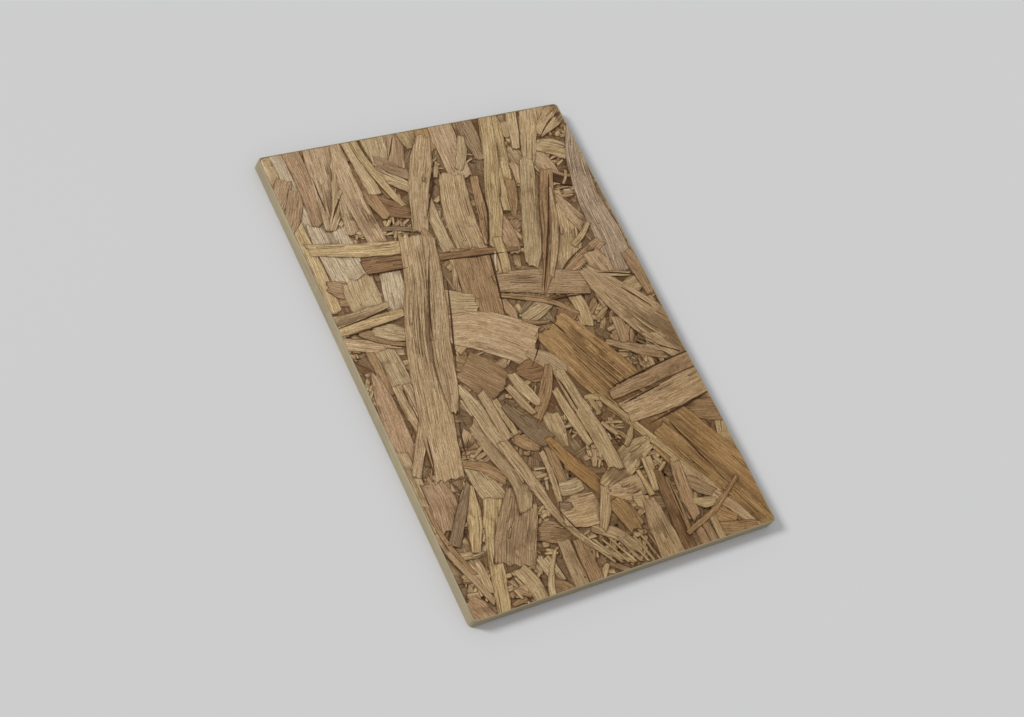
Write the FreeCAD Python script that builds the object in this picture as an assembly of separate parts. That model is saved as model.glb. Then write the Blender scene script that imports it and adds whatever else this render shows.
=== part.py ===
import FreeCAD, Part
import os

# One cut board of oriented strand board (OSB): strands of softwood pressed and glued into a
# single solid sheet, sawn to an A4 panel, with its four corners rounded and every arris eased.
# Frame: millimetres, +Z up, the underside on Z = 0, the origin under the middle of the board.

# Driving dimensions
length = 297.0         # along Y, the way the face strands mostly run
width = 210.0          # along X
thickness = 8.0        # along Z
corner_radius = 3.0    # the rounding of the four corners, seen from above
arris_radius = 0.8     # the easing where the two faces meet the sawn edge


def slab():
    """The sheet with square corners, lying flat on Z = 0."""
    corner = FreeCAD.Vector(-width / 2, -length / 2, 0)
    return Part.makeBox(width, length, thickness, corner)


def upright_edges(shape):
    """The straight edges that run the full thickness, at the four corners."""
    return [edge for edge in shape.Edges if edge.BoundBox.ZLength > thickness / 2]


def face_outlines(shape):
    """The edges that go round the top face and round the underside."""
    return [edge for edge in shape.Edges if edge.BoundBox.ZLength < thickness / 2]


def osb_board():
    """The board: rounded corners first, then one continuous easing round each face."""
    board = slab()
    board = board.makeFillet(corner_radius, upright_edges(board))
    return board.makeFillet(arris_radius, face_outlines(board))


os.makedirs("parts", exist_ok=True)
osb_board().exportStep("parts/osb_board.step")
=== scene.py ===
import math
import bmesh
import bpy
import numpy as np
from mathutils import Matrix, Vector


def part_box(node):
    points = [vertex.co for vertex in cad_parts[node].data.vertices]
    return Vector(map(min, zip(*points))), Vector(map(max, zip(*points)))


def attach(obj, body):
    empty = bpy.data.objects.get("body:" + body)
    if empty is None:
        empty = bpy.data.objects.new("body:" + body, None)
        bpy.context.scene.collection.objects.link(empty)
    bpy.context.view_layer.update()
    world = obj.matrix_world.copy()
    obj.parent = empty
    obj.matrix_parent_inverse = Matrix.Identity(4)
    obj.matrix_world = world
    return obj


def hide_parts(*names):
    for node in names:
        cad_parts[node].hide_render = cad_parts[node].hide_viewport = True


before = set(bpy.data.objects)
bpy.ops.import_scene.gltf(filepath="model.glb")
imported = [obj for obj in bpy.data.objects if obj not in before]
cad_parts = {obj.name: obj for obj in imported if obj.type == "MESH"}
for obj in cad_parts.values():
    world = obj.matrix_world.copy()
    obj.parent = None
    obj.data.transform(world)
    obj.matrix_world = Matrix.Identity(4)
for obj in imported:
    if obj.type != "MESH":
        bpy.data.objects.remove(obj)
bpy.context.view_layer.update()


# ---------------------------------------------------------------------------------------------
# The sawn board. A panel cut from a pressed sheet: its edge is sanded, sealed with a thin khaki
# coat and eased to a small round where it meets the faces. The faces are left bare, so the
# strands lie in a shallow bed that reaches right up to the easing.

MM = 0.001
LOW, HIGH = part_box("osb_board")
HALF_WIDTH = (HIGH[0] - LOW[0]) / 2 / MM
HALF_LENGTH = (HIGH[1] - LOW[1]) / 2 / MM
THICKNESS = (HIGH[2] - LOW[2]) / MM
CORNER = 3.0
ARRIS = 0.8
BED = 1.25


class Wire:
    """A value on its way through a material, so that sums of values read as arithmetic."""

    def __init__(self, tree, socket=None):
        self.tree = tree
        self.socket = socket

    def node(self, kind, settings=(), inputs=(), output=0):
        made = self.tree.nodes.new(kind)
        for name, value in dict(settings).items():
            setattr(made, name, value)
        for name, value in dict(inputs).items():
            if isinstance(value, Wire):
                self.tree.links.new(value.socket, made.inputs[name])
            else:
                made.inputs[name].default_value = value
        return Wire(self.tree, made.outputs[output] if made.outputs else None)

    def math(self, operation, first, second):
        return self.node("ShaderNodeMath", {"operation": operation}, {0: first, 1: second})

    def __add__(self, other):
        return self.math("ADD", self, other)

    def __sub__(self, other):
        return self.math("SUBTRACT", self, other)

    def __rsub__(self, other):
        return self.math("SUBTRACT", other, self)

    def __mul__(self, other):
        return self.math("MULTIPLY", self, other)

    def __abs__(self):
        return self.node("ShaderNodeMath", {"operation": "ABSOLUTE"}, {0: self})

    __radd__ = __add__
    __rmul__ = __mul__

    def between(self, start, end):
        """0 up to the start value, 1 from the end value on, and smooth in between."""
        steps = {"From Min": start, "From Max": end, "Value": self}
        return self.node("ShaderNodeMapRange", {"interpolation_type": "SMOOTHSTEP"}, steps)

    def stretched(self, x, y, z):
        return self.node("ShaderNodeVectorMath", {"operation": "MULTIPLY"}, {0: self, 1: (x, y, z)})

    def tinted(self, tint):
        return self.node("ShaderNodeVectorMath", {"operation": "MULTIPLY"}, {0: self, 1: tint[:3]})

    def scaled(self, amount):
        sockets = {"Vector": self, "Scale": amount}
        return self.node("ShaderNodeVectorMath", {"operation": "SCALE"}, sockets)

    def summed(self):
        """The three parts of a place added up, to measure along a slanting line."""
        dot = {0: self, 1: (1, 1, 1)}
        return self.node("ShaderNodeVectorMath", {"operation": "DOT_PRODUCT"}, dot, "Value")

    def noise(self, scale=1.0, detail=3.0, roughness=0.5):
        """Cloudy noise from 0 to 1, read at this place."""
        look = {"Vector": self, "Scale": scale, "Detail": detail, "Roughness": roughness}
        return self.node("ShaderNodeTexNoise", (), look)

    def blend(self, first, second):
        """The first colour where this value is 0, the second where it is 1."""
        return self.node("ShaderNodeMix", {"data_type": "RGBA"}, {0: self, 6: first, 7: second}, 2)


def paint(red, green, blue):
    """A colour as a paint chart gives it, from 0 to 255, turned into light."""
    parts = [value / 255 for value in (red, green, blue)]
    return (*(p / 12.92 if p <= 0.04045 else ((p + 0.055) / 1.055) ** 2.4 for p in parts), 1.0)


def new_material(name):
    material = bpy.data.materials.new(name)
    material.use_nodes = True
    material.node_tree.nodes.clear()
    return material, Wire(material.node_tree)


def finish_surface(wire, colour, roughness, relief, depth):
    """The surface itself: its colour, how matte it is, and a relief that is depth metres high."""
    normal = wire.node("ShaderNodeBump", (), {"Height": relief, "Distance": depth, "Strength": 1.0})
    inputs = {"Base Color": colour, "Roughness": roughness, "Normal": normal, "Specular IOR Level": 0.2}
    surface = wire.node("ShaderNodeBsdfPrincipled", (), inputs)
    wire.node("ShaderNodeOutputMaterial", (), {"Surface": surface})


def sealed_edge():
    """Thin khaki sealer over sawn strands: their ends still show as faint level streaks."""
    material, wire = new_material("sealed_edge")
    place = wire.node("ShaderNodeTexCoord", output="Object").stretched(1000, 1000, 1000)
    streaks = place.stretched(0.045, 0.045, 1.3).noise(1.0, 4.0, 0.6)
    clouds = place.stretched(0.03, 0.03, 0.1).noise(1.0, 2.0)
    grit = place.noise(2.6, 2.0)
    rubbed = place.stretched(0.12, 0.12, 0.3).noise(1.0, 3.0, 0.6).between(0.52, 0.74)
    colour = clouds.between(0.3, 0.7).blend(paint(152, 141, 114), paint(144, 133, 109))
    colour = (streaks.between(0.42, 0.75) * 0.5).blend(colour, paint(126, 109, 82))
    colour = (rubbed * 0.45).blend(colour, paint(167, 151, 120))
    relief = streaks * 0.7 + grit * 0.3
    finish_surface(wire, colour, 0.55 + 0.2 * grit, relief, 0.00012)
    return material


def hidden_bed():
    """The inside of the board that shows down the gaps, coloured darker than the strands."""
    material, wire = new_material("hidden_bed")
    place = wire.node("ShaderNodeTexCoord", output="Object").stretched(1000, 1000, 1000)
    fibres = place.stretched(0.7, 0.12, 0.4).noise(1.0, 4.0, 0.6)
    colour = fibres.between(0.3, 0.7).blend(paint(72, 49, 29), paint(112, 84, 54))
    finish_surface(wire, colour, 0.8 + 0.1 * fibres, fibres, 0.0003)
    return material


def outline(inset, steps=8):
    """Points round the board in millimetres, anticlockwise, this far in from the sawn edge."""
    turn = np.linspace(0, math.pi / 2, steps + 1)
    points = []
    for quarter, (right, up) in enumerate(((1, 1), (-1, 1), (-1, -1), (1, -1))):
        for angle in turn + quarter * math.pi / 2:
            x = right * (HALF_WIDTH - CORNER) + (CORNER - inset) * math.cos(angle)
            y = up * (HALF_LENGTH - CORNER) + (CORNER - inset) * math.sin(angle)
            points.append((x, y))
    return points


def sawn_board():
    """Rings from the bed of the underside, out over the eased edge, to the bed of the top."""
    easing = np.linspace(0, math.pi / 2, 7)
    lower = [(ARRIS * (1 - math.sin(a)), ARRIS * (1 - math.cos(a))) for a in easing]
    sides = [(0.0, THICKNESS * share) for share in (0.3, 0.5, 0.7)]
    upper = [(inset, THICKNESS - z) for inset, z in reversed(lower)]
    rings = [(ARRIS, BED), *lower, *sides, *upper, (ARRIS, THICKNESS - BED)]
    points = [(x * MM, y * MM, z * MM) for inset, z in rings for x, y in outline(inset)]
    count = len(points) // len(rings)
    faces = [list(reversed(range(count)))]
    for ring in range(len(rings) - 1):
        for k in range(count):
            here, after = ring * count + k, ring * count + (k + 1) % count
            faces.append((here, after, after + count, here + count))
    faces.append(range((len(rings) - 1) * count, len(rings) * count))
    mesh = bpy.data.meshes.new("sawn_board")
    mesh.from_pydata(points, [], faces)
    mesh.materials.append(sealed_edge())
    mesh.materials.append(hidden_bed())
    for k, face in enumerate(mesh.polygons):
        in_bed = k == 0 or k == len(faces) - 1
        face.material_index = 1 if in_bed else 0
        face.use_smooth = not in_bed
    piece = bpy.data.objects.new("sawn_board", mesh)
    bpy.context.collection.objects.link(piece)
    return piece


board = sawn_board()
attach(board, "root")
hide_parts("osb_board")


# ---------------------------------------------------------------------------------------------
# The strands. Softwood flakes 75 to 150 mm long and about 0.6 mm thick, shaved along the grain,
# mixed with broken chips and fines, sprinkled with resin, and pressed flat between hot plates.
# Each one rests on what lies under it, and the press squeezes the whole heap to a level face.

CELL = 0.5
RIM = 0.7
ROUNDED_RIM = 0.22
PRESS = 0.7
SOFTNESS = 0.24
DEEPEST = 0.78
AT_THE_EDGE = 0.3
EDGE_BAND = 4
HIDDEN_DROP = 0.15
STIFFNESS = 12
DRAPE = 0.3
TONES = {
    "chalk": (169, 151, 123), "khaki": (161, 139, 105), "straw": (163, 140, 102), "ash": (159, 139, 117),
    "tan": (158, 134, 101), "fawn": (160, 136, 105), "rose": (150, 123, 93),
    "ochre": (146, 117, 79), "amber": (137, 106, 66), "brown": (139, 112, 80),
    "walnut": (121, 93, 64), "slate": (124, 103, 77), "mauve": (143, 119, 90),
    # The last two tones are painted shade: dark flakes laid where hollows and gaps between strands lie in
    # shade.
    "hollow": (92, 64, 37), "gap_shade": (70, 45, 24),
}


def softened(values, times):
    """The same values with each one averaged into its neighbours, a number of times."""
    for _ in range(times):
        for axis in (0, 1):
            ends = [(1, 1) if k == axis else (0, 0) for k in (0, 1)]
            padded = np.pad(values, ends, mode="edge")
            before, after = (slice(None, -2), slice(2, None))
            pick = [slice(None), slice(None)]
            pick[axis] = before
            low = padded[tuple(pick)]
            pick[axis] = after
            values = (low + 2 * values + padded[tuple(pick)]) / 4
    return values


def curve_through(points, count):
    """A smooth curve through the points, read at even steps along it."""
    points = np.array(points, float)
    at = np.concatenate([[0], np.cumsum(np.hypot(*np.diff(points[:, :2], axis=0).T))])
    slope = np.gradient(points, at, axis=0)
    asked = np.linspace(0, at[-1], count)
    k = np.clip(np.searchsorted(at, asked, "right") - 1, 0, len(at) - 2)
    span = (at[k + 1] - at[k])[:, None]
    t = (asked - at[k])[:, None] / span
    start = points[k] * (1 + 2 * t) * (1 - t) ** 2 + slope[k] * span * t * (1 - t) ** 2
    return start + points[k + 1] * t * t * (3 - 2 * t) + slope[k + 1] * span * t * t * (t - 1)


class Strand:
    """One flake: a grid of points along and across it, and how high it came to rest."""

    def __init__(self, tone, spots, rest, grain, rim, thick, number, turn):
        self.tone, self.spots, self.rest = tone, spots, rest
        self.grain, self.rim, self.thick, self.number, self.turn = grain, rim, thick, number, turn


class Heap:
    """One face of the board while strands are laid on it, from the inside outwards."""

    def __init__(self, seed):
        self.dice = np.random.default_rng(seed)
        self.height = np.zeros((int(2 * HALF_LENGTH / CELL), int(2 * HALF_WIDTH / CELL)))
        self.uppermost = np.zeros(self.height.shape, int)
        self.layers = {}
        self.laid = 0

    def cells(self, spots):
        column = ((spots[..., 0] + HALF_WIDTH) / CELL).astype(int)
        row = ((spots[..., 1] + HALF_LENGTH) / CELL).astype(int)
        rows, columns = self.height.shape
        return np.clip(row, 0, rows - 1), np.clip(column, 0, columns - 1)

    def lay(self, layer, tone, *path, thick=0.6, ragged=1.0):
        """Lay a strand whose middle line and width are given by points (x, y, width)."""
        dice = self.dice
        widths = [point[2] for point in path]
        length = sum(math.dist(a[:2], b[:2]) for a, b in zip(path, path[1:]))
        across = 2 + int(np.clip(max(widths) / 2.6, 2, 12))
        along = 2 + int(np.clip(length / 2.4, 3, 72))
        line = curve_through(path, along)
        line[1] = line[0] + (line[1] - line[0]) * min(1, RIM / (length / along))
        line[-2] = line[-1] + (line[-2] - line[-1]) * min(1, RIM / (length / along))
        heading = np.gradient(line[:, :2], axis=0)
        heading /= np.hypot(*heading.T)[:, None]
        side = np.stack([-heading[:, 1], heading[:, 0]], 1)
        half = np.clip(line[:, 2:3], 0.3, None) / 2
        inner = np.maximum(half - RIM, half * 0.45)
        reach = np.linspace(-1, 1, across - 2)[None, :] * inner
        wobble = softened(dice.normal(0, 0.65, (along, 2)), 2) * min(1, max(widths) / 7)
        reach = np.concatenate([-half + wobble[:, :1], reach, half + wobble[:, 1:]], 1)
        tear = ragged * (0.5 + 0.1 * max(widths))
        slant = dice.normal(0, 0.22, 2) * ragged
        spots = line[:, None, :2] + side[:, None, :] * reach[..., None]
        run = np.linspace(0, length, along)
        for end, tip in ((0, -1), (-1, 1)):
            push = dice.uniform(-tear, tear, across) + slant[end] * reach[end]
            fade = np.exp(-np.abs(run - run[end]) / (2.5 + tear))
            spots += heading[end] * (tip * fade[:, None] * push[None, :])[..., None]
        rim = np.zeros((along, across))
        rim[[0, -1]] = 1
        rim[:, [0, -1]] = 1
        steps = (-1.8, -0.9, 0, 0.9, 1.8)
        around = [(x, y) for x in steps for y in steps]
        ground = np.max([self.height[self.cells(spots + step)] for step in around], 0)
        bridged = DRAPE * ground + (1 - DRAPE) * softened(ground, STIFFNESS)
        rest = np.maximum(bridged, ground - DRAPE) + thick
        self.laid += 1
        self.stamp(spots, rest, thick >= 0.3)
        rest = rest - rim * ROUNDED_RIM
        drift = dice.uniform(0, 900, 2)
        grain = np.stack([run[:, None] + 0 * reach + drift[0], reach + drift[1]], -1)
        strand = Strand(tone, spots, rest, grain, rim, thick, dice.random(), self.laid)
        self.layers.setdefault(layer, []).append(strand)
        return line

    def lay_split(self, layer, tone, *path, thick=0.6, ragged=1.0):
        """Lay a strand with the splinters that lift along its grain as the knife shaves it."""
        line = self.lay(layer, tone, *path, thick=thick, ragged=ragged)
        dice = self.dice
        length = sum(math.dist(a[:2], b[:2]) for a, b in zip(path, path[1:]))
        heading = np.gradient(line[:, :2], axis=0)
        heading /= np.hypot(*heading.T)[:, None]
        side = np.stack([-heading[:, 1], heading[:, 0]], 1)
        for _ in range(int(length * line[:, 2].mean() / 190 + dice.random())):
            share, shift = dice.uniform(0.12, 0.45), dice.uniform(-0.9, 0.9)
            start = dice.uniform(0.02, 0.98 - share)
            rows = np.linspace(start, start + share, 4) * (len(line) - 1)
            rows = rows.astype(int)
            if rows[1] == rows[0] or rows[-1] == rows[-2] or rows[2] == rows[1]:
                continue
            spots = line[rows, :2] + side[rows] * line[rows, 2:3] / 2 * shift
            widths = dice.uniform(0.7, 2.1) * np.array((0.5, 1.0, 0.9, 0.3))
            fibre = [(*spot, width) for spot, width in zip(spots, widths)]
            self.lay("top_splinters", tone, *fibre, thick=0.14, ragged=0.4)

    def stamp(self, spots, rest, hides):
        """Raise the heap to the top of the strand wherever the strand covers it."""
        rows, columns = spots.shape[:2]
        fine_rows, fine_columns = (np.linspace(0, n - 1, n * 7) for n in (rows, columns))
        a = np.minimum(fine_rows.astype(int), rows - 2)
        b = np.minimum(fine_columns.astype(int), columns - 2)
        s, t = (fine_rows - a)[:, None], (fine_columns - b)[None, :]

        def filled(values):
            corner = [values[np.ix_(a + i, b + j)] for i in (0, 1) for j in (0, 1)]
            u, v = (s, t) if values.ndim == 2 else (s[..., None], t[..., None])
            start = corner[0] * (1 - v) + corner[1] * v
            end = corner[2] * (1 - v) + corner[3] * v
            return start * (1 - u) + end * u

        dense = filled(spots)
        inside = (np.abs(dense[..., 0]) < HALF_WIDTH) & (np.abs(dense[..., 1]) < HALF_LENGTH)
        row, column = self.cells(dense[inside])
        np.maximum.at(self.height, (row, column), filled(rest)[inside])
        if hides:
            self.uppermost[row, column] = self.laid

    def scatter(self, layer, count, length, width, tones, lean, thick=0.6, ragged=1.0):
        """Sprinkle strands of a size range all over the face; lean is how far they turn."""
        dice = self.dice
        for _ in range(count):
            x, y = dice.uniform(-HALF_WIDTH, HALF_WIDTH), dice.uniform(-HALF_LENGTH, HALF_LENGTH)
            angle = math.pi / 2 + dice.normal(0, lean)
            size, wide = dice.uniform(*length), dice.uniform(*width)
            self.drop(layer, dice.choice(tones), x, y, angle, size, wide, thick, ragged)

    def drop(self, layer, tone, x, y, angle, size, wide, thick, ragged):
        """Lay one nearly straight strand about a middle point."""
        bend = self.dice.normal(0, 0.02) * size
        ends = self.dice.uniform(0.55, 1.0, 2) * wide
        ahead = np.array((math.cos(angle), math.sin(angle)))
        aside = np.array((-math.sin(angle), math.cos(angle)))
        middle = np.array((x, y))
        start, end = middle - ahead * size / 2, middle + ahead * size / 2
        path = ((*start, ends[0]), (*(middle + aside * bend), wide), (*end, ends[1]))
        self.lay(layer, tone, *path, thick=thick, ragged=ragged)

    def nest(self, layer, x, y, reach, count):
        """A hollow with broken chips lying in it every way, as between the ends of strands."""
        dice = self.dice
        tones = ("khaki", "tan", "fawn", "straw", "brown", "rose", "tan")
        turn = dice.uniform(0, math.pi)
        # The hollow's floor is a thin dark flake: painted shade under the chips.
        self.drop(layer, "hollow", x, y, turn, 1.8 * reach, 1.4 * reach, 0.1, 1.5)
        for _ in range(2 * count):
            away, round_ = reach * math.sqrt(dice.random()), dice.uniform(0, 2 * math.pi)
            size = dice.uniform(3, 12)
            spot = (x + away * math.cos(round_), y + away * math.sin(round_))
            angle = turn + dice.normal(0, 0.55)
            self.drop(layer, dice.choice(tones), *spot, angle, size, dice.uniform(1.3, 4.0), 0.3, 0.5)

    def pressed(self, strand, level):
        """How far below the finished face each point of the strand ends up, in millimetres."""
        row, column = self.cells(strand.spots)
        over = PRESS * (strand.rest - level[row, column])
        sunk = SOFTNESS * np.logaddexp(0, -over / SOFTNESS)
        x, y = np.abs(strand.spots[..., 0]), np.abs(strand.spots[..., 1])
        margin = np.minimum(HALF_WIDTH - x, HALF_LENGTH - y)
        sunk = sunk * (AT_THE_EDGE + (1 - AT_THE_EDGE) * np.clip((margin - ARRIS) / EDGE_BAND, 0, 1))
        sunk = DEEPEST * np.tanh(sunk / DEEPEST)
        hidden = self.uppermost[row, column] > strand.turn
        return np.minimum(sunk + HIDDEN_DROP * hidden, BED - 0.1)

    def level(self):
        """The height that the press brings to the finished face, which drifts over the board."""
        block = 6
        rows, columns = (n // block * block for n in self.height.shape)
        blocks = self.height[:rows, :columns].reshape(rows // block, block, columns // block, block)
        coarse = blocks.mean((1, 3))
        smooth = softened(coarse, 7)
        row, column = (np.clip((np.arange(n) + 0.5) / block - 0.5, 0, most - 1.001)
                       for n, most in zip(self.height.shape, smooth.shape))
        a, b = row.astype(int), column.astype(int)
        s, t = (row - a)[:, None], (column - b)[None, :]
        top = smooth[np.ix_(a, b)] * (1 - t) + smooth[np.ix_(a, b + 1)] * t
        bottom = smooth[np.ix_(a + 1, b)] * (1 - t) + smooth[np.ix_(a + 1, b + 1)] * t
        return top * (1 - s) + bottom * s


def round_the_grid(rows, columns):
    """The numbers of a grid's outer points, in order round it."""
    number = np.arange(rows * columns).reshape(rows, columns)
    return np.concatenate([number[0], number[1:, -1], number[-1, -2::-1], number[-2:0:-1, 0]])


def closed_faces(rows, columns):
    """The faces of a thin closed slab: its top grid, its edge, and a plain underside."""
    number = np.arange(rows * columns).reshape(rows, columns)
    faces = np.stack([number[:-1, :-1], number[1:, :-1], number[1:, 1:], number[:-1, 1:]], -1)
    faces = faces.reshape(-1, 4).tolist()
    ring = round_the_grid(rows, columns)
    below = {int(top): rows * columns + k for k, top in enumerate(ring)}
    for here, after in zip(ring.tolist(), np.roll(ring, -1).tolist()):
        faces.append([here, after, below[after], below[here]])
    left, right = [[below[int(n)] for n in number[:, k]] for k in (0, -1)]
    for k in range(1, rows - 2):
        faces.append([left[k], right[k], right[k + 1], left[k + 1]])
    first, last = [[below[int(n)] for n in number[k]] for k in (0, -1)]
    faces.append([*first, right[1], left[1]])
    faces.append([left[-2], right[-2], *reversed(last)])
    return faces


def trimmed(mesh):
    """Cut the strands off flush along the line where the easing of the edge begins.

    What is cut is kept in a fixed order, so that the mesh comes out the same each time.
    """
    shape = bmesh.new()
    shape.from_mesh(mesh)
    inset = ARRIS + 0.01
    turns = [k * math.pi / 8 for k in range(16)]
    for angle in turns:
        out = Vector((math.cos(angle), math.sin(angle), 0))
        centre = Vector((math.copysign(HALF_WIDTH - CORNER, out.x),
                         math.copysign(HALF_LENGTH - CORNER, out.y), 0))
        point = (centre + out * (CORNER - inset)) * MM
        near = [v for v in shape.verts if (v.co - point).dot(out) > -0.03]
        touched = dict.fromkeys(f for v in near for f in v.link_faces)
        edges = dict.fromkeys(e for f in touched for e in f.edges)
        verts = dict.fromkeys(v for f in touched for v in f.verts)
        bmesh.ops.bisect_plane(shape, geom=[*verts, *edges, *touched], dist=1e-7, plane_co=point,
                               plane_no=out, clear_outer=True)
    bmesh.ops.holes_fill(shape, edges=[e for e in shape.edges if e.is_boundary], sides=0)
    shape.to_mesh(mesh)
    shape.free()


def strand_piece(name, heap, layer, level, material, underside=False):
    """Join one layer's strands into a piece, each a closed flake, the topmost last."""
    points, faces, tone, rim, depth, grain, seed = [], [], [], [], [], [], []
    start = 0
    for strand in heap.layers[layer]:
        rows, columns = strand.rim.shape
        ring = round_the_grid(rows, columns)
        sunk = heap.pressed(strand, level)
        spots = strand.spots.reshape(-1, 2)
        tops = THICKNESS - sunk.reshape(-1)
        lowest = np.pad(tops.reshape(rows, columns).min(1), 1, mode="edge")
        lowest = np.minimum(np.minimum(lowest[:-2], lowest[2:]), lowest[1:-1])
        foot = np.minimum(tops[ring] - max(0.25, strand.thick * 0.8), lowest[ring // columns] - 0.08)
        foot = np.maximum(foot, THICKNESS - BED + 0.02)
        points.append(np.column_stack([np.vstack([spots, spots[ring]]), np.concatenate([tops, foot])]))
        faces += [[start + n for n in face] for face in closed_faces(rows, columns)]
        count = rows * columns + len(ring)
        tone.append(np.tile(paint(*TONES[strand.tone]), (count, 1)))
        # The side walls of each flake get rim 1 and 0.4 mm more depth, so the material paints shade down
        # them.
        rim.append(np.concatenate([strand.rim.reshape(-1), np.ones(len(ring))]))
        depth.append(np.concatenate([sunk.reshape(-1), sunk.reshape(-1)[ring] + 0.4]))
        flat = strand.grain.reshape(-1, 2)
        grain.append(np.vstack([flat, flat[ring]]))
        seed.append(np.full(count, strand.number))
        start += count
    points = np.vstack(points)
    if underside:
        points = points * (-1, 1, -1) + (0, 0, THICKNESS)
    mesh = bpy.data.meshes.new(name)
    mesh.from_pydata((points * MM).tolist(), [], faces)
    tones = mesh.attributes.new("tone", "FLOAT_COLOR", "POINT")
    tones.data.foreach_set("color", np.vstack(tone).ravel())
    for title, values in (("rim", rim), ("depth", depth), ("seed", seed)):
        mesh.attributes.new(title, "FLOAT", "POINT").data.foreach_set("value", np.concatenate(values))
    corners = np.empty(len(mesh.loops), int)
    mesh.loops.foreach_get("vertex_index", corners)
    mesh.uv_layers.new(name="grain").data.foreach_set("uv", np.vstack(grain)[corners].ravel())
    trimmed(mesh)
    corners = np.empty(len(mesh.loops), int)
    mesh.loops.foreach_get("vertex_index", corners)
    places = np.empty(len(mesh.vertices) * 3)
    mesh.vertices.foreach_get("co", places)
    flat = places.reshape(-1, 3)[corners, :2] / MM
    flat = (flat + (HALF_WIDTH, HALF_LENGTH)) / (2 * HALF_LENGTH)
    mesh.uv_layers.new(name="OFBake").data.foreach_set("uv", flat.ravel())
    mesh.materials.append(material)
    piece = bpy.data.objects.new(name, mesh)
    bpy.context.collection.objects.link(piece)
    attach(piece, "root")
    return piece


def strand_wood():
    """Bare pressed softwood: fibres and growth rings along each strand and cracks, with rims darkened
    partly as broken edges and partly as painted shade, painted shade where strands sink, and a painted
    light falloff over the face.
    """
    material, wire = new_material("strand_wood")
    grain = wire.node("ShaderNodeUVMap", {"uv_map": "grain"})
    place = wire.node("ShaderNodeTexCoord", output="Object")
    tone = wire.node("ShaderNodeAttribute", {"attribute_name": "tone"}, output="Color")
    rim = wire.node("ShaderNodeAttribute", {"attribute_name": "rim"}, output="Fac")
    depth = wire.node("ShaderNodeAttribute", {"attribute_name": "depth"}, output="Fac")
    seed = wire.node("ShaderNodeAttribute", {"attribute_name": "seed"}, output="Fac")
    coarse = grain.stretched(0.022, 0.42, 1).noise(1.0, 3.0, 0.6)
    fibres = grain.stretched(0.060, 1.50, 1).noise(1.0, 5.0, 0.8)
    hairs = grain.stretched(0.085, 2.0, 1).noise(1.0, 3.0, 0.65)
    rings = grain.stretched(0.005, 0.26, 1).noise(1.0, 2.0, 0.45)
    latewood = 1 - abs(rings - 0.5).between(0.0, 0.035)
    cracks = grain.stretched(0.024, 1.1, 1).noise(1.0, 2.0, 0.45).between(0.68, 0.72)
    clouds = grain.stretched(0.060, 0.13, 1).noise(1.0, 5.0, 0.65)
    rough = grain.stretched(0.40, 0.95, 1).noise(1.0, 4.0, 0.7)
    specks = grain.stretched(0.55, 1.35, 1).noise(1.0, 3.0, 0.7)
    pale, deep = tone.tinted((1.48, 1.54, 1.66)), tone.tinted((0.62, 0.54, 0.43))
    colour = fibres.between(0.36, 0.64).blend(pale, deep)
    colour = (coarse.between(0.45, 0.68) * 0.25).blend(colour, deep)
    colour = (hairs.between(0.50, 0.62) * 0.60).blend(colour, tone.tinted((0.40, 0.31, 0.20)))
    colour = (latewood * (0.05 + 0.28 * seed)).blend(colour, tone.tinted((0.58, 0.49, 0.39)))
    colour = (rough.between(0.52, 0.72) * 0.34).blend(colour, tone.tinted((0.54, 0.45, 0.35)))
    colour = (specks.between(0.50, 0.64) * 0.50).blend(colour, tone.tinted((0.42, 0.33, 0.22)))
    colour = (clouds.between(0.46, 0.68) * 0.20).blend(colour, tone.tinted((0.72, 0.65, 0.55)))
    colour = (clouds.between(0.48, 0.30) * 0.22).blend(colour, tone.tinted((1.36, 1.39, 1.46)))
    colour = (cracks * 0.80).blend(colour, paint(66, 43, 24))
    # Rims darkened in frayed patches: partly the dark broken edge of the strand, partly painted shade
    # along the step where one strand lies over the next.
    frayed = grain.stretched(0.09, 0.09, 1).noise(1.0, 4.0, 0.65)
    colour = (rim * frayed.between(0.34, 0.54) * 0.92).blend(colour, tone.tinted((0.20, 0.135, 0.07)))
    # Painted shade: the deeper a point sinks below the pressed face, the darker it is made, as in the
    # recesses between strands.
    colour = (depth.between(0.38, 0.85) * 0.66).blend(colour, paint(70, 45, 22))
    colour = colour.scaled(1.05 + 0.24 * seed)
    # Painted light falloff: the whole face is made lighter towards the lamp's side (-X, +Y) and darker
    # away from it, partly also a drift in the wood's own tone.
    lean = place.stretched(3.1, -2.2, 0).summed()
    drift = (lean + 0.35 * (place.noise(14.0, 2.0) - 0.5)).between(-0.62, 0.62)
    colour = drift.blend(colour.tinted((1.23, 1.26, 1.32)), colour.tinted((0.92, 0.885, 0.80)))
    relief = fibres * 0.5 + hairs * 0.3 + coarse * 0.5 + rough * 0.7 - cracks * 0.9
    finish_surface(wire, colour, 0.62 + 0.2 * fibres, relief, 0.00050)
    return material


wood = strand_wood()


# ---------------------------------------------------------------------------------------------
# The top face. Under the big face strands lie medium ones, mostly along the board, and between
# their ends the core shows: short flakes, chips and fines in hollows whose dark floors are painted
# shade. The face strands were the last to fall, so each lies over the ones laid before it; most lean
# a little off the length.

top = Heap(7)
top.scatter("top_core", 90, (40, 110), (10, 26), ("walnut", "brown", "tan"), 1.2)
top.scatter("top_core", 110, (50, 130), (8, 22), ("brown", "rose", "tan", "fawn", "walnut"), 0.7)
top.scatter("top_core", 150, (18, 60), (4, 13), ("tan", "khaki", "brown", "fawn", "straw", "rose"), 0.8)
top.scatter("top_core", 150, (14, 42), (3, 9), ("khaki", "tan", "brown", "fawn", "mauve", "rose"), 0.9)
top.scatter("top_chips", 260, (5, 22), (1.0, 4.0), ("khaki", "tan", "brown", "straw", "walnut"), 0.9, 0.4)

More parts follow.
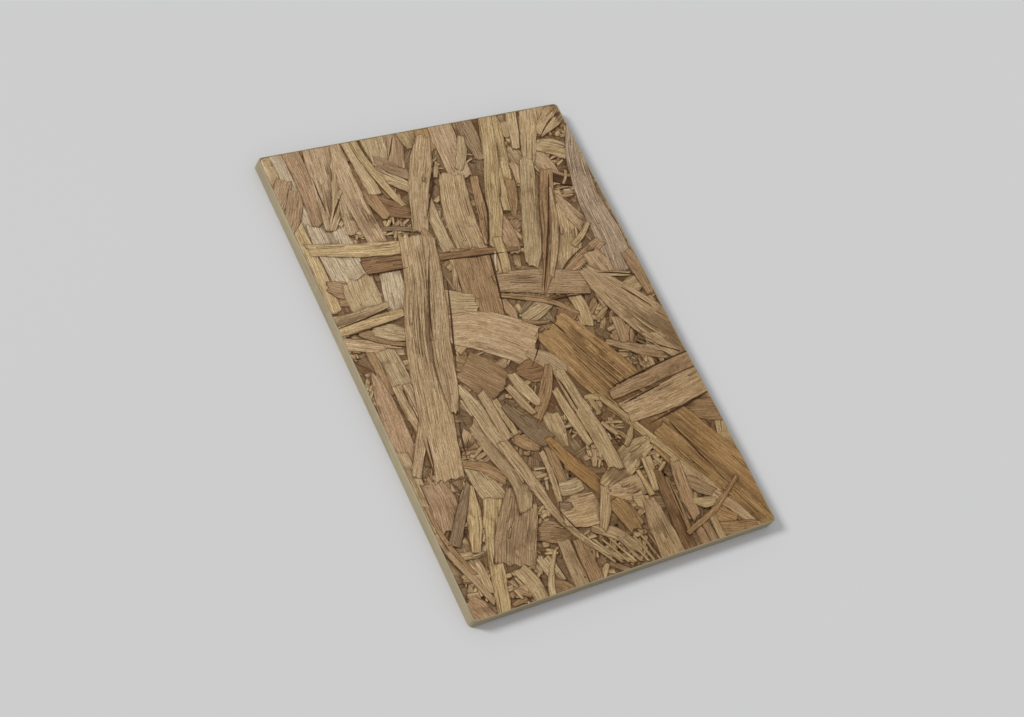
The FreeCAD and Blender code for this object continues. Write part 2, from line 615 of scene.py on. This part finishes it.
for x, y, reach, count in (
    (-37, 105, 9, 22), (-23, 117, 6, 10), (-70, 87, 5, 12), (-98, 22, 9, 22), (-84, 19, 7, 12),
    (-40, 86, 8, 14), (50, 105, 6, 14), (40, 112, 4, 7), (84, 88, 8, 16), (66, 72, 6, 14),
    (60, 132, 6, 8), (84, 112, 9, 16), (98, 128, 6, 10), (62, 5, 8, 18), (68, -12, 8, 18),
    (64, -30, 9, 22), (78, -34, 8, 20), (40, 8, 7, 10), (96, 10, 7, 10), (27, -50, 7, 12),
    (30, -68, 7, 12), (12, -78, 6, 10), (8, -58, 7, 10), (-15, -32, 8, 12), (-25, -60, 8, 12),
    (-24, -84, 7, 14), (-14, -80, 7, 12), (-38, -104, 6, 12), (-46, -124, 6, 10), (-80, -100, 7, 12),
    (-98, -88, 7, 12), (-88, -70, 7, 12), (-62, -60, 8, 12), (-92, -130, 9, 16), (-70, -138, 9, 14),
    (38, -98, 7, 14), (50, -92, 6, 12), (52, -110, 6, 12), (22, -116, 7, 16), (8, -134, 10, 22),
    (-12, -128, 9, 16), (64, -138, 8, 14), (66, -118, 8, 12), (78, -134, 7, 10), (-102, -10, 6, 14),
    (20, 124, 7, 10), (0, 122, 5, 8), (86, 140, 8, 12), (-56, -130, 6, 10), (28, 60, 5, 6),
):
    top.nest("top_chips", x, y, reach, count)

lay = top.lay_split

# The top left corner and the left edge
lay("top_low", "khaki", (-101, 156, 12), (-101, 138, 11), (-100, 126, 8))
lay("top_low", "chalk", (-92, 156, 11), (-93, 125, 9), (-93, 97, 9), (-92, 84, 8))
lay("top_low", "straw", (-101, 116, 9), (-101, 86, 10), (-101, 60, 10), (-101, 44, 9))
lay("top_low", "chalk", (-84, 99, 22), (-84, 80, 24), (-83, 58, 23), ragged=0.5)
lay("top_low", "rose", (-99, 60, 6), (-92, 56, 12), (-84, 53, 6))
lay("top_low", "khaki", (-80, 60, 20), (-81, 50, 22), (-80, 38, 19))
lay("top_low", "chalk", (-57, 62, 13), (-61, 48, 15), (-64, 34, 14))
lay("top_low", "walnut", (-48, 106, 12), (-38, 99, 12), (-26, 95, 10))
lay("top_low", "slate", (-52, 88, 3), (-40, 86, 3.5), (-27, 82, 3))
lay("top_low", "rose", (-110, 112, 9), (-104, 119, 12), (-95, 131, 9), ragged=0.6)
lay("top_low", "rose", (-110, 94, 6), (-101, 106, 10), (-91, 123, 9), ragged=0.6)
lay("top_low", "brown", (-52, 134, 8), (-49, 115, 9), (-44, 94, 7))
lay("top_low", "rose", (-84, 156, 12), (-84, 122, 11), (-86, 99, 10))
lay("top_face", "fawn", (-66, 156, 19), (-72, 120, 17), (-78, 95, 13))
lay("top_face", "tan", (-52, 152, 7), (-61, 128, 8), (-71, 107, 7), (-81, 93, 4))
lay("top_face", "fawn", (-65, 118, 3), (-67, 104, 7), (-69, 89, 9))
lay("top_face", "fawn", (-54, 156, 6), (-57, 126, 11), (-58, 102, 13), (-56, 78, 12))
lay("top_face", "khaki", (-47, 156, 8), (-45, 130, 9), (-44, 111, 9))
lay("top_face", "khaki", (-38, 128, 7), (-30, 120, 10), (-20, 110, 7))
lay("top_face", "straw", (-44, 156, 6), (-40, 130, 5.5), (-34, 110, 5), (-30, 99, 3))
lay("top_face", "khaki", (-27, 158, 26), (-28, 145, 20), (-31, 130, 11), ragged=0.5)
lay("top_face", "mauve", (-35, 134, 5), (-28, 128, 9), (-20, 122, 9), (-12, 116, 6))
lay("top_face", "mauve", (-12, 158, 9), (-16, 142, 11), (-22, 127, 11))
lay("top_face", "straw", (-7, 156, 14), (-6, 146, 13), (-4, 136, 12), ragged=0.5)

# The middle of the upper edge
lay("top_low", "ochre", (6, 156, 13), (5, 146, 12), (3, 134, 12), ragged=0.6)
lay("top_low", "fawn", (18, 156, 18), (17, 138, 17), (15, 110, 15))
lay("top_low", "mauve", (34, 156, 12), (35, 138, 12), (34, 120, 7), ragged=0.6)
lay("top_low", "khaki", (29, 138, 4), (24, 128, 7), (16, 116, 5))
lay("top_low", "khaki", (-14, 110, 9), (-15, 88, 8), (-15, 64, 9))
lay("top_low", "rose", (26, 82, 9), (27, 68, 11), (26, 54, 8))
lay("top_low", "straw", (12, 60, 6), (8, 44, 7), (4, 30, 5), (3, 13, 2))
lay("top_face", "tan", (10, 114, 16), (3, 92, 20), (0, 62, 21), ragged=0.8)
lay("top_face", "brown", (24, 110, 6), (19, 90, 7), (12, 64, 7))
lay("top_face", "brown", (-3, 64, 25), (-7, 42, 24), (-11, 20, 22), ragged=0.4)
lay("top_face", "rose", (1, 28, 3), (4, 20, 7), (5, 12, 2))
lay("top_face", "tan", (4, 143, 9), (-7, 124, 14), (-17, 106, 13), (-27, 82, 10))
lay("top_face", "brown", (-25, 83, 2), (-25, 76, 8), (-24, 71, 6), ragged=0.4)

# The right side of the upper half
lay("top_low", "khaki", (62, 156, 14), (62, 143, 14), (61, 132, 10))
lay("top_low", "tan", (56, 125, 12), (58, 112, 14), (54, 98, 10))
lay("top_low", "khaki", (100, 160, 14), (90, 142, 14), (78, 132, 10))
lay("top_low", "fawn", (70, 120, 12), (74, 108, 14), (78, 92, 10))
lay("top_low", "khaki", (70, 124, 6), (86, 119, 13), (103, 109, 12), ragged=0.6)
lay("top_low", "khaki", (73, 88, 6), (66, 64, 20), (58, 48, 22), (50, 34, 10))
lay("top_face", "tan", (112, 150, 12), (96, 139, 13), (80, 130, 8), ragged=0.7)
lay("top_face", "khaki", (88, 160, 12), (79, 140, 12), (70, 122, 10), (63, 108, 6))
lay("top_face", "khaki", (74, 160, 8), (67, 140, 8), (61, 122, 5))
lay("top_face", "straw", (59, 158, 7), (53, 132, 7), (46, 108, 6), (42, 92, 4))
lay("top_face", "brown", (46, 103, 7), (42, 90, 7), (37, 78, 3))
lay("top_face", "khaki", (64, 114, 9), (56, 94, 12), (46, 72, 13), (38, 54, 12), (32, 44, 8))
lay("top_face", "straw", (46, 128, 6), (40, 106, 6), (34, 82, 5))
lay("top_face", "straw", (54, 158, 9), (44, 128, 10), (34, 104, 10), (24, 80, 9), (15, 60, 8))
lay("top_face", "fawn", (71, 87, 4), (77, 70, 11), (84, 54, 12), (90, 40, 8))
# A very dark flake: painted shade where the strands leave a gap, crossed by two thin strands.
lay("top_face", "gap_shade", (76, 99, 6), (84, 96, 10), (93, 93, 7))
lay("top_face", "rose", (77, 103, 2), (85, 98, 2.5), (92, 96, 2))
lay("top_face", "khaki", (80, 92, 1.5), (84, 96, 2), (87, 101, 1.5))
lay("top_face", "ash", (110, 134, 10), (98, 106, 14), (93, 78, 17), (93, 52, 20), (90, 26, 22))
lay("top_face", "khaki", (66, 51, 4), (76, 57, 4), (84, 64, 3))
lay("top_face", "rose", (46, 34, 2), (58, 37, 6), (71, 43, 8), (86, 50, 7))

# The left side of the middle
lay("top_low", "tan", (-110, 26, 7), (-92, 19, 8), (-72, 12, 7))
lay("top_low", "brown", (-94, 29, 5), (-82, 22, 8), (-66, 16, 7))
lay("top_low", "khaki", (-84, 28, 8), (-74, 24, 12), (-64, 20, 8))
lay("top_low", "khaki", (-84, 14, 13), (-83, 2, 15), (-82, -11, 13))
lay("top_low", "brown", (-92, 15, 5), (-92, 0, 6), (-93, -12, 6))
lay("top_low", "tan", (-87, -8, 5), (-86, -24, 6), (-84, -42, 5))
lay("top_low", "fawn", (-80, -8, 6), (-79, -24, 7), (-78, -40, 7))
lay("top_face", "rose", (-96, 2, 4), (-97, -14, 11), (-98, -32, 14), (-99, -52, 15))
lay("top_face", "tan", (-112, 38, 8), (-90, 38, 6), (-68, 41, 4), ragged=0.6)
lay("top_face", "straw", (-112, 31, 6), (-84, 33, 7), (-61, 34, 5), ragged=0.6)
lay("top_face", "straw", (-100, 84, 8), (-76, 79, 9), (-52, 75, 9), (-28, 74, 8))
lay("top_face", "walnut", (-73, 66, 9), (-50, 65, 9), (-22, 62, 5.5), (6, 60, 4.5), (29, 57, 3),
    ragged=0.4)
lay("top_face", "straw", (19, 67, 6.5), (16, 50, 6.5), (12.5, 36, 5), (10, 26, 2))
lay("top_face", "chalk", (13, 58, 1.4), (10, 52, 2.2), (8, 46, 1.2))

# The broad curled strand and what lies round it
lay("top_low", "khaki", (-38, 37, 17), (-26, 31, 17), (-14, 28, 14))
lay("top_low", "brown", (-48, -1, 8), (-38, -7, 12), (-22, -11, 9))
lay("top_low", "khaki", (8, 12, 7), (18, 15, 11), (30, 19, 8))
lay("top_low", "walnut", (32, 4, 8), (39, 9, 12), (46, 14, 9))
lay("top_low", "straw", (50, 22, 9), (50, 10, 10), (48, -2, 9), ragged=0.5)
lay("top_face", "slate", (9, 16, 2), (15, 20, 4), (25, 24, 2), ragged=0.4)
lay("top_face", "mauve", (3, 38, 11), (24, 35, 16), (45, 30, 17), (64, 25, 15), ragged=0.6)
lay("top_face", "brown", (74, 104, 8), (64, 84, 10), (53, 60, 9), (42, 40, 7), (31, 25, 3))
lay("top_face", "tan", (70, 92, 3), (61, 68, 5), (50, 48, 5), (41, 34, 3))
lay("top_face", "brown", (2, 30, 2), (20, 24, 4), (34, 18, 4), (47, 7, 3), ragged=0.4)
lay("top_face", "fawn", (-41, 17, 19), (-24, 13, 25), (-8, 5, 29), (8, -7, 30), ragged=0.25)
lay("top_face", "brown", (8, 12, 2), (17, 8, 3), (26, 7, 2), ragged=0.4)

# The right side of the middle
lay("top_low", "fawn", (74, 45, 12), (78, 34, 14), (80, 24, 10))
lay("top_low", "khaki", (76, 28, 3), (86, 26, 4), (95, 24, 3))
lay("top_low", "khaki", (84, 15, 8), (92, 17, 11), (100, 19, 7))
lay("top_low", "rose", (98, 40, 8), (102, 28, 12), (104, 10, 12))
lay("top_low", "mauve", (54, -14, 4), (66, -20, 6), (80, -27, 8), (96, -34, 6))
lay("top_low", "mauve", (70, 0, 7), (69, -8, 8), (67, -18, 6))
lay("top_low", "tan", (80, -20, 8), (92, -26, 10), (106, -34, 8))
lay("top_low", "khaki", (108, -72, 10), (101, -90, 11), (102, -112, 10))
lay("top_low", "brown", (84, -67, 10), (96, -71, 14), (110, -74, 16))
lay("top_face", "fawn", (64, 35, 8), (71, 23, 17), (82, 6, 25), (96, -14, 29), (110, -34, 27), ragged=0.6)

# The big golden strand, its split edge, and the two that cross it
lay("top_face", "ochre", (24, 5, 27), (31, -8, 32), (41, -28, 36), (53, -50, 36), (69, -80, 40),
    (86, -112, 42), (102, -146, 38), ragged=0.6)
lay("top_face", "ochre", (60, -74, 12), (76, -104, 14), (92, -136, 15), (100, -154, 15), ragged=0.5)
lay("top_face", "straw", (31, -44, 3), (40, -58, 5), (53, -80, 6), (66, -102, 5), (78, -122, 4))
lay("top_face", "fawn", (58, -94, 4), (72, -118, 7), (84, -136, 7), (94, -154, 6))
lay("top_face", "rose", (40, -47, 6), (70, -43, 9), (112, -37, 11), ragged=0.5)
lay("top_face", "fawn", (44, -60, 14), (75, -57, 17), (114, -51, 18), ragged=0.6)

# The lower left
lay("top_low", "khaki", (-102, -46, 8), (-101, -75, 9), (-102, -100, 7))
lay("top_low", "rose", (-92, -68, 14), (-91, -82, 17), (-94, -97, 11))
lay("top_low", "khaki", (-66, -62, 9), (-62, -78, 15), (-57, -94, 14))
lay("top_low", "brown", (-70, -62, 5), (-58, -68, 7), (-48, -78, 9))
lay("top_low", "tan", (-92, -104, 9), (-90, -118, 10), (-90, -136, 10))
lay("top_low", "khaki", (-96, -112, 5), (-84, -113, 5), (-72, -110, 5))
lay("top_low", "rose", (-104, -136, 12), (-98, -146, 14), (-94, -158, 12))
lay("top_low", "khaki", (-66, -128, 9), (-62, -138, 10), (-60, -156, 9))
lay("top_low", "khaki", (-50, -126, 9), (-47, -136, 10), (-45, -142, 8))
lay("top_low", "brown", (-52, -142, 9), (-44, -148, 10), (-38, -156, 9))
lay("top_face", "straw", (-72, -74, 6), (-78, -96, 9), (-86, -112, 5))
lay("top_face", "tan", (-104, -96, 4), (-97, -118, 5), (-88, -142, 4))
lay("top_face", "brown", (-102, -80, 2.5), (-100, -100, 3), (-92, -124, 3))
lay("top_face", "slate", (-72, -73, 3), (-82, -87, 6), (-97, -106, 7))
lay("top_face", "straw", (-62, -86, 12), (-72, -108, 10), (-80, -130, 9), (-88, -158, 8))
lay("top_face", "mauve", (-43, -87, 18), (-52, -101, 23), (-61, -114, 25), (-67, -125, 24), ragged=0.5)
lay("top_face", "tan", (-52, -40, 9), (-46, -62, 13), (-41, -84, 12), (-46, -98, 8))
lay("top_face", "brown", (-44, -112, 10), (-35, -115, 14), (-26, -119, 7))
lay("top_face", "tan", (-33, -120, 8), (-33, -136, 10), (-35, -158, 10))
lay("top_face", "brown", (-23, -122, 9), (-24, -138, 9), (-24, -158, 9))
lay("top_face", "khaki", (-40, -124, 2), (-50, -138, 4), (-56, -156, 5))

# The lower middle
lay("top_low", "khaki", (-3, -46, 11), (-4, -58, 12), (-5, -70, 8))
lay("top_low", "brown", (-32, -56, 7), (-25, -62, 8), (-18, -66, 5))
lay("top_low", "brown", (-14, -62, 6), (-15, -76, 7), (-16, -92, 6))
lay("top_low", "khaki", (-20, -92, 8), (-12, -93, 9), (-4, -92, 8))
lay("top_low", "brown", (4, -106, 10), (12, -114, 12), (17, -126, 9))
lay("top_low", "ochre", (8, -104, 10), (12, -116, 12), (14, -128, 8))
lay("top_low", "tan", (-12, -118, 7), (0, -126, 8), (12, -140, 6))
lay("top_face", "brown", (-42, -6, 20), (-32, -16, 24), (-23, -25, 20), ragged=0.5)
lay("top_face", "walnut", (-11, -18, 4), (-2, -20, 15), (10, -20, 9), ragged=0.5)
lay("top_face", "fawn", (2, -8, 6), (11, -16, 12), (19, -26, 10))
lay("top_face", "brown", (11, -19, 5), (2, -33, 8), (-13, -49, 6))
lay("top_face", "khaki", (-15, -18, 6), (-12, -29, 8), (-7, -41, 5))
lay("top_face", "tan", (-21, -25, 5), (-17, -36, 6), (-13, -45, 4))
lay("top_face", "khaki", (-51, -16, 4), (-46, -34, 9), (-43, -52, 9), (-40, -64, 6))
lay("top_face", "tan", (-39, -24, 6), (-37, -40, 7), (-36, -56, 6))
lay("top_face", "straw", (-33, -30, 4), (-31, -42, 5), (-30, -54, 4))
lay("top_face", "slate", (-29, -35, 5), (-23, -47, 10), (-16, -58, 12), (-12, -64, 11), ragged=0.4)
lay("top_face", "tan", (-41, -56, 8), (-36, -74, 8), (-32, -94, 7), (-26, -113, 5), (-14, -131, 4),
    (4, -145, 3))
lay("top_face", "tan", (-20, -68, 3), (-21, -84, 4), (-24, -104, 3))
lay("top_face", "amber", (-12, -62, 5), (-6, -78, 9), (2, -92, 10), (9, -106, 8))
lay("top_face", "tan", (-26, -107, 14), (-14, -108, 20), (0, -108, 19), ragged=0.35)
lay("top_face", "slate", (-25, -101, 4), (-21, -103, 5), (-17, -103, 3), ragged=0.4)
lay("top_face", "tan", (8, -98, 5), (2, -110, 7), (-6, -122, 5))
for k in range(9):
    tone = ("straw", "tan", "khaki")[k % 3]
    lay("top_face", tone, (-20 + 5 * k, -124 - k, 1.6), (-8 + 4 * k, -142 - k, 1.8))

# The long pale strands right of the middle
lay("top_face", "khaki", (50, -80, 8), (36, -84, 15), (22, -92, 14), (8, -98, 7))
lay("top_face", "fawn", (9, -102, 5), (22, -104, 14), (33, -103, 12))
lay("top_face", "khaki", (15, -23, 8), (17, -45, 10), (20, -68, 11), (21, -90, 10))
lay("top_face", "khaki", (7, -34, 5), (9, -54, 7), (12, -72, 5))
lay("top_face", "straw", (23, -44, 3), (28, -45, 3.5), (32, -47, 3))
lay("top_face", "straw", (44, -68, 2), (39, -74, 4), (33, -79, 3))

# The lower right
lay("top_low", "khaki", (46, -112, 8), (52, -122, 9), (54, -132, 8))
lay("top_low", "mauve", (60, -108, 7), (67, -115, 9), (74, -121, 6))
lay("top_low", "ochre", (66, -130, 9), (73, -136, 10), (80, -141, 8))
lay("top_low", "brown", (66, -142, 8), (78, -146, 10), (92, -148, 8))
lay("top_face", "khaki", (22, -112, 7), (31, -115, 9), (41, -117, 7))
lay("top_face", "tan", (31, -112, 8), (30, -130, 15), (29, -158, 17))
lay("top_face", "straw", (33, -94, 3), (34, -104, 4), (35, -112, 4))
lay("top_face", "khaki", (42, -88, 7), (41, -98, 7), (39, -109, 5))
lay("top_face", "walnut", (45, -98, 5), (43, -122, 8), (42, -158, 9))
lay("top_face", "brown", (49, -104, 3), (48, -122, 4), (47, -140, 3))
lay("top_face", "rose", (59, -96, 7), (56, -115, 9), (55, -132, 7))
lay("top_face", "khaki", (59, -122, 4), (65, -125, 7), (73, -126, 5))
lay("top_face", "rose", (53, -136, 5), (53, -146, 6), (53, -158, 6))
lay("top_face", "rose", (59, -134, 5), (59, -146, 6), (59, -158, 6))
lay("top_face", "khaki", (65, -132, 5), (65, -144, 5), (66, -158, 5))
lay("top_face", "brown", (44, -139, 3), (68, -131, 3.5), (94, -116, 2.5), ragged=0.4)

# The longest strand, split down its length, lies over everything beside it
lay("top_face", "tan", (-74, -24, 6), (-86, -42, 7), (-99, -62, 5))
lay("top_face", "tan", (-35, 80, 15), (-44, 52, 16), (-54, 28, 18), (-62, 6, 20), (-67, -14, 21),
    (-74, -40, 21), (-81, -69, 17), ragged=0.7)
lay("top_face", "tan", (-24.5, 77, 8), (-32, 52, 10), (-40.5, 29, 12), (-49, 7, 12),
    (-54.5, -13, 11), (-60, -32, 5))


def painted_gap_shadow(width, *spots):
    """A narrow dark sliver laid along the side of a strand, drawn to a point at both ends: a painted
    shadow of the opening there.
    """
    first, *inner, last = np.array(spots, float)
    inner = inner or [(first + last) / 2]
    path = [(*first, 0.3 * width), *((*spot, width) for spot in inner), (*last, 0.3 * width)]
    top.lay("top_splinters", "gap_shade", *path, thick=0.14, ragged=0.2)


# Painted shadows in the gaps left where one strand's edge stands clear of the next
painted_gap_shadow(0.9, (-28, 68), (-37, 50), (-46, 30), (-53, 12))
painted_gap_shadow(0.9, (-26, 47), (-33, 28), (-40, 10), (-46, -6))
painted_gap_shadow(0.8, (-60, -38), (-64, -52), (-66, -62))
painted_gap_shadow(0.9, (-83, -42), (-88, -64))
painted_gap_shadow(0.8, (-78, 130), (-79, 107))
painted_gap_shadow(0.9, (-64, 116), (-72, 107), (-79, 98))
painted_gap_shadow(0.8, (-26, 131), (-21, 138), (-16, 146))
painted_gap_shadow(1.0, (0, 121), (-4, 112), (-12, 100), (-20, 88))
painted_gap_shadow(0.9, (-24, 60.5), (2, 58), (28, 55.5))
painted_gap_shadow(1.0, (-72, 61), (-60, 61), (-46, 60.5))
painted_gap_shadow(1.1, (25, 105), (21, 85), (10, 62))
painted_gap_shadow(1.4, (9, 58), (5, 40), (0, 20))
painted_gap_shadow(1.0, (104, 142), (95, 138), (80, 126))
painted_gap_shadow(1.1, (74, 101), (64, 82), (52, 60), (40, 40), (30, 24))
painted_gap_shadow(0.9, (48, 35), (58, 42), (70, 48))
painted_gap_shadow(1.0, (72, 30), (84, 27), (97, 23))
painted_gap_shadow(1.1, (83, 17), (90, 9), (97, 0))
painted_gap_shadow(0.9, (30, 20), (45, 19.5), (60, 18))
painted_gap_shadow(1.0, (26, 7), (29, 2), (32, -4))
painted_gap_shadow(0.9, (69, -72), (77, -94), (85, -115))
painted_gap_shadow(1.0, (104, -33), (75, -37), (44, -42))
painted_gap_shadow(1.0, (46, -54), (75, -49))
painted_gap_shadow(1.0, (56, -70), (80, -66), (104, -61))
painted_gap_shadow(1.0, (76, -17), (88, -25), (100, -32))
painted_gap_shadow(0.9, (12, -27), (14, -38), (15, -50))
painted_gap_shadow(0.9, (25, -62), (28, -70), (30, -78))
painted_gap_shadow(1.0, (49, -105), (48, -118), (47, -130))
painted_gap_shadow(0.9, (-26, -105), (-23, -113), (-20, -120))
painted_gap_shadow(1.0, (-104, 33.5), (-86, 35.5), (-68, 38))
painted_gap_shadow(0.9, (-104, 27), (-85, 29), (-65, 30.5))
painted_gap_shadow(0.9, (-33, -31), (-20, -25))
painted_gap_shadow(0.8, (16, 4), (9, -8), (0, -17.5))

level = top.level()
for layer in ("top_core", "top_chips", "top_low", "top_face", "top_splinters"):
    strand_piece(layer, top, layer, level, wood)


# ---------------------------------------------------------------------------------------------
# The underside, pressed against the lower plate: the same mix of strands, fallen first.

under = Heap(23)
under.scatter("under_core", 110, (40, 110), (10, 26), ("walnut", "brown", "tan"), 1.2)
under.scatter("under_core", 200, (8, 40), (2, 9), ("tan", "khaki", "brown", "straw", "walnut"), 1.0, 0.4)
for _ in range(34):
    x, y = under.dice.uniform(-100, 100), under.dice.uniform(-142, 142)
    under.nest("under_core", x, y, under.dice.uniform(4, 9), 12)
under.scatter("under_face", 60, (70, 150), (9, 30),
              ("tan", "khaki", "fawn", "ochre", "brown", "rose"), 0.5)
under.scatter("under_face", 60, (30, 90), (4, 12),
              ("straw", "khaki", "tan", "walnut", "mauve", "chalk"), 0.6)

level = under.level()
for layer in ("under_core", "under_face"):
    strand_piece(layer, under, layer, level, wood, underside=True)


# ---------------------------------------------------------------------------------------------
# The studio: a plain pale floor, an even sky, and one broad soft lamp from the upper left.

def pale_floor():
    material, wire = new_material("pale_floor")
    cloud = wire.node("ShaderNodeTexCoord", output="Object").noise(3.0, 2.0)
    colour = cloud.blend(paint(203, 203, 204), paint(205, 205, 206))
    finish_surface(wire, colour, 0.9, cloud, 0.0)
    return material


mesh = bpy.data.meshes.new("floor")
corners = [(x, y, -0.05 * MM) for x, y in ((-4, -4), (4, -4), (4, 4), (-4, 4))]
mesh.from_pydata(corners, [], [(0, 1, 2, 3)])
mesh.materials.append(pale_floor())
floor = bpy.data.objects.new("floor", mesh)
bpy.context.collection.objects.link(floor)

lamp = bpy.data.lights.new("lamp", "SUN")
lamp.energy = 2.3
lamp.angle = math.radians(16)
lamp_object = bpy.data.objects.new("lamp", lamp)
towards = Vector((-0.70, 0.42, 0.55))
lamp_object.rotation_euler = towards.to_track_quat("Z", "Y").to_euler()
bpy.context.collection.objects.link(lamp_object)

world = bpy.data.worlds.new("studio")
world.use_nodes = True
world.node_tree.nodes["Background"].inputs["Color"].default_value = (1, 1, 1, 1)
world.node_tree.nodes["Background"].inputs["Strength"].default_value = 0.60
bpy.context.scene.world = world
bpy.context.scene.view_settings.view_transform = "Standard"

EYE = Vector((-0.6201, -0.3715, 0.9250))
AIM = Vector((-0.0099, -0.0097, 0.0080))
ROLL = math.radians(38.48)
camera = bpy.data.cameras.new("camera")
camera.sensor_width = 36
camera.lens = 71.6
camera_object = bpy.data.objects.new("camera", camera)
looking = (AIM - EYE).to_track_quat("-Z", "Y").to_matrix().to_4x4()
camera_object.matrix_world = Matrix.Translation(EYE) @ looking @ Matrix.Rotation(ROLL, 4, "Z")
bpy.context.collection.objects.link(camera_object)
bpy.context.scene.camera = camera_object
